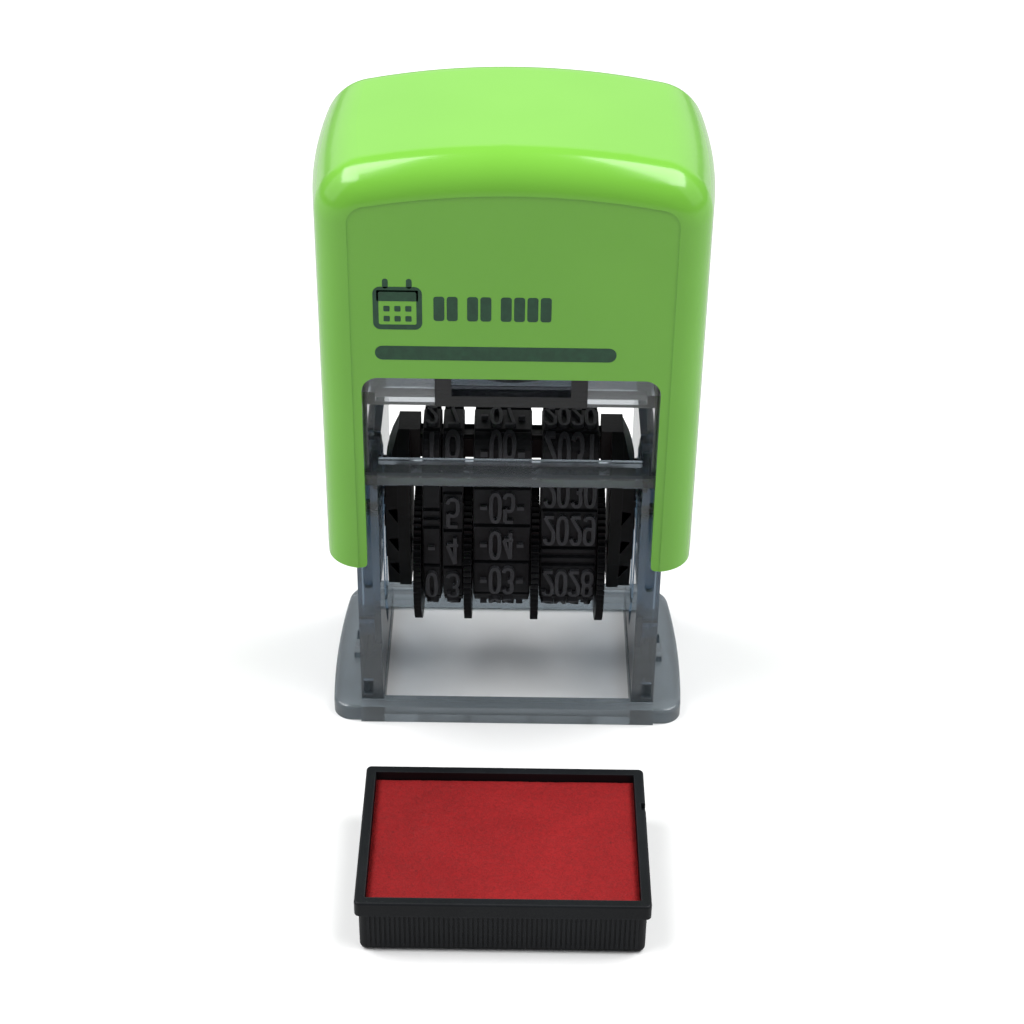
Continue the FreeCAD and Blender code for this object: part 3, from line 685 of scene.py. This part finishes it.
def panel_print(material):
    """Calendar pictogram, a row of blank date fields and a plain rule."""
    build = Build()
    left, right, low, high = CALENDAR
    half = CALENDAR_HALF_LINE
    border = rounded_box(left + half, right - half, low + half, high - half, 0.5)
    ribbon(build, border, 2 * half, 2 * half, INK_ROOT, INK_HEIGHT, on_panel, closed=True)
    printed_shape(build, rounded_box(left + 0.4, right - 0.4, high - 1.7, high - 0.4, 0.1))
    for x in (left + RING_INSET, right - RING_INSET):
        ring = rounded_box(x - RING_HALF_WIDTH, x + RING_HALF_WIDTH, high - 0.2, high + 0.95, 0.28)
        printed_shape(build, ring)
    for column in range(3):
        for row in range(2):
            x, z = left + DAY_START_X + DAY_PITCH_X * column, low + DAY_START_Z + DAY_PITCH_Z * row
            day = rounded_box(x - DAY_HALF, x + DAY_HALF, z - DAY_HALF, z + DAY_HALF, 0.12)
            printed_shape(build, day)
    x = FIELDS_START
    for count in (2, 2, 4):
        for _ in range(count):
            printed_shape(build, rounded_box(x, x + FIELD_WIDTH, FIELD_LOW, FIELD_HIGH, 0.3))
            x += FIELD_PITCH
        x += FIELDS_GAP
    printed_shape(build, rounded_box(*RULE, 0.8))
    piece = build.make("panel_print", material, "green_plastic", smooth=False)
    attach(piece, "cover")


# ---- return spring --------------------------------------------------------
WIRE_RADIUS = 0.45 * MM
WIRE_SIDES = 12
COIL_TURNS, STEPS_PER_TURN = 10.5, 40
# Rise of the first and of the last turn, which are closed.
CLOSED_PITCH = 1.0 * MM
# Keeps the pressed coil clear of the cover.
COIL_ROOM = 0.3 * MM


def tube(build, line, radius):
    """Closed round wire along a line of points."""
    rows = []
    up = Vector((0, 0, 1))
    for i, point in enumerate(line):
        ahead = (line[min(i + 1, len(line) - 1)] - line[max(i - 1, 0)]).normalized()
        across = ahead.cross(up).normalized()
        over = across.cross(ahead)
        rows.append([point + (across * math.cos(a) + over * math.sin(a)) * radius
                     for a in (2 * math.pi * k / WIRE_SIDES for k in range(WIRE_SIDES))])
    start = build.grid(rows, closed_across=True)
    last = start + WIRE_SIDES * (len(rows) - 1)
    build.cap(range(start, start + WIRE_SIDES))
    build.cap(range(last, last + WIRE_SIDES))


def spring(material):
    low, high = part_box("return_spring")
    radius = high.x - WIRE_RADIUS
    start, end = low.z + WIRE_RADIUS, high.z - WIRE_RADIUS - COIL_ROOM
    points = []
    for i in range(int(COIL_TURNS * STEPS_PER_TURN) + 1):
        turn = i / STEPS_PER_TURN
        closed = CLOSED_PITCH * min(turn, COIL_TURNS - turn, 1.0)
        share = min(max(0.0, turn - 1.0) / (COIL_TURNS - 2.0), 1.0)
        rise = closed if turn < COIL_TURNS / 2 else CLOSED_PITCH + (CLOSED_PITCH - closed)
        z = start + rise + share * (end - start - 2 * CLOSED_PITCH)
        angle = 2 * math.pi * turn
        points.append(Vector((radius * math.cos(angle), radius * math.sin(angle), z)))
    build = Build()
    tube(build, points, WIRE_RADIUS)
    piece = build.make("spring_coil", material, "spring_steel")
    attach(piece, "frame")
    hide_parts("return_spring")
    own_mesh(piece)


# ---- felt -----------------------------------------------------------------
FELT_COLUMNS, FELT_ROWS = 150, 108
FELT_EDGE_FALL, FELT_EDGE_WIDTH = 0.35 * MM, 0.9 * MM
FELT_FOOT_SHARE = 0.985
# Unevenness of the top: scale of each noise per metre and its height in millimetres. The sink lowers it all.
TUFT_SCALE, TUFT_HEIGHT = 900, 0.045
FIBRE_SCALE, FIBRE_HEIGHT = 2600, 0.03
SWELL_SCALE, SWELL_HEIGHT, SWELL_SINK = 130, 0.06, 0.10


def felt(material):
    """Ink-soaked felt: slightly crowned and uneven on top, with pulled-in edges."""
    low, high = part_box("felt_pad")
    centre = (low + high) / 2
    half = (high - low) / 2
    build = Build()
    grid = []
    for j in range(FELT_ROWS + 1):
        line = []
        for i in range(FELT_COLUMNS + 1):
            u, v = 2 * i / FELT_COLUMNS - 1, 2 * j / FELT_ROWS - 1
            x, y = centre.x + u * half.x, centre.y + v * half.y
            edge = min((1 - abs(u)) * half.x, (1 - abs(v)) * half.y)
            fall = FELT_EDGE_FALL * max(0.0, 1 - edge / FELT_EDGE_WIDTH) ** 2
            tufts = noise.noise(Vector((x, y, 0)) * TUFT_SCALE) * TUFT_HEIGHT
            fibres = noise.noise(Vector((x, y, 3)) * FIBRE_SCALE) * FIBRE_HEIGHT
            swell = noise.noise(Vector((x, y, 7)) * SWELL_SCALE) * SWELL_HEIGHT - SWELL_SINK
            z = high.z - fall + (tufts + fibres + swell) * MM
            line.append(Vector((x, y, min(z, high.z))))
        grid.append(line)
    build.grid(grid)
    ring = grid[0] + [r[-1] for r in grid[1:]] + grid[-1][-2::-1] + [r[0] for r in grid[-2:0:-1]]
    bottom = []
    for point in ring:
        x = centre.x + (point.x - centre.x) * FELT_FOOT_SHARE
        y = centre.y + (point.y - centre.y) * FELT_FOOT_SHARE
        bottom.append(Vector((x, y, low.z)))
    belly = [(a + b) / 2 for a, b in zip(ring, bottom)]
    start = build.grid([ring, belly, bottom], closed_across=True)
    build.cap(range(start + 2 * len(ring), start + 3 * len(ring)))
    piece = build.make("ink_felt", material, "red_felt")
    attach(piece, "ink_cartridge")
    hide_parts("felt_pad")


# ---- put together ---------------------------------------------------------
def dress(material, *names):
    for name in names:
        mesh = NODES[name].data
        mesh.materials.clear()
        mesh.materials.append(material)


FLOOR_RADIUS = 0.95
FLOOR_SIDES = 96
FLOOR_DROP = 0.00002


def make_floor():
    height = CAD_BOX[0].z - FLOOR_DROP
    angles = [2 * math.pi * k / FLOOR_SIDES for k in range(FLOOR_SIDES)]
    rim = [(FLOOR_RADIUS * math.cos(a), FLOOR_RADIUS * math.sin(a), height) for a in angles]
    mesh = bpy.data.meshes.new("floor")
    mesh.from_pydata(rim, [], [tuple(range(FLOOR_SIDES))])
    mesh.materials.append(floor_paper())
    floor = bpy.data.objects.new("floor", mesh)
    SCENE.collection.objects.link(floor)


make_camera()
make_light()
make_floor()

dress(green_plastic(), "cover")
dress(smoke_plastic("smoke_satin", clear=0.82, darker=(0.50, 0.56, 0.60), lighter=(0.56, 0.62, 0.66),
                    absorbed=(0.36, 0.44, 0.50), density=180.0, low=0.12, high=0.18), "base_plate")
dress(smoke_plastic("smoke_clear", clear=0.88, darker=(0.72, 0.82, 0.90), lighter=(0.78, 0.87, 0.94),
                    absorbed=(0.26, 0.38, 0.48), density=200.0, low=0.02, high=0.07), "main_frame")
black = moulded("black_plastic", dark=(0.0030, 0.0036, 0.0042), light=(0.0050, 0.0058, 0.0066),
                worn=(0.024, 0.025, 0.028), low=0.32, high=0.46, grain=3200)
dress(black, "right_cheek", "left_cheek", "print_bar")
wheel = moulded("wheel_plastic", dark=(0.0028, 0.0030, 0.0036), light=(0.0048, 0.0050, 0.0060),
                worn=(0.022, 0.023, 0.026), low=0.30, high=0.44, grain=4200)
dress(wheel, "tens_wheel", "units_wheel", "month_wheel", "year_wheel")
dress(wire("pin_steel", (0.56, 0.57, 0.59)), "right_pivot_pin", "left_pivot_pin", "tie_rod", "wheel_axle")
rubber = band_rubber("band_rubber", dark=(0.011, 0.012, 0.014), middle=(0.015, 0.016, 0.019),
                     dusty=(0.026, 0.027, 0.030), worn=(0.034, 0.036, 0.041))
type_rubber = band_rubber("type_rubber", dark=(0.048, 0.050, 0.056), middle=(0.062, 0.064, 0.072),
                          dusty=(0.082, 0.084, 0.092), worn=(0.095, 0.098, 0.107))
dress(rubber, "tens_band", "units_band", "month_band", "year_band")
tray = moulded("tray_plastic", dark=(0.0055, 0.0062, 0.0075), light=(0.0088, 0.0100, 0.0120),
               worn=(0.032, 0.035, 0.040), low=0.32, high=0.48, grain=2600)
dress(tray, "pad_tray")

band_path = BandPath()
for band_name in FRONT_CELLS:
    band_type(band_name, band_path, rubber, type_rubber)
panel_print(ink_print())
spring(wire("spring_steel", (0.64, 0.63, 0.61)))
felt(red_felt())
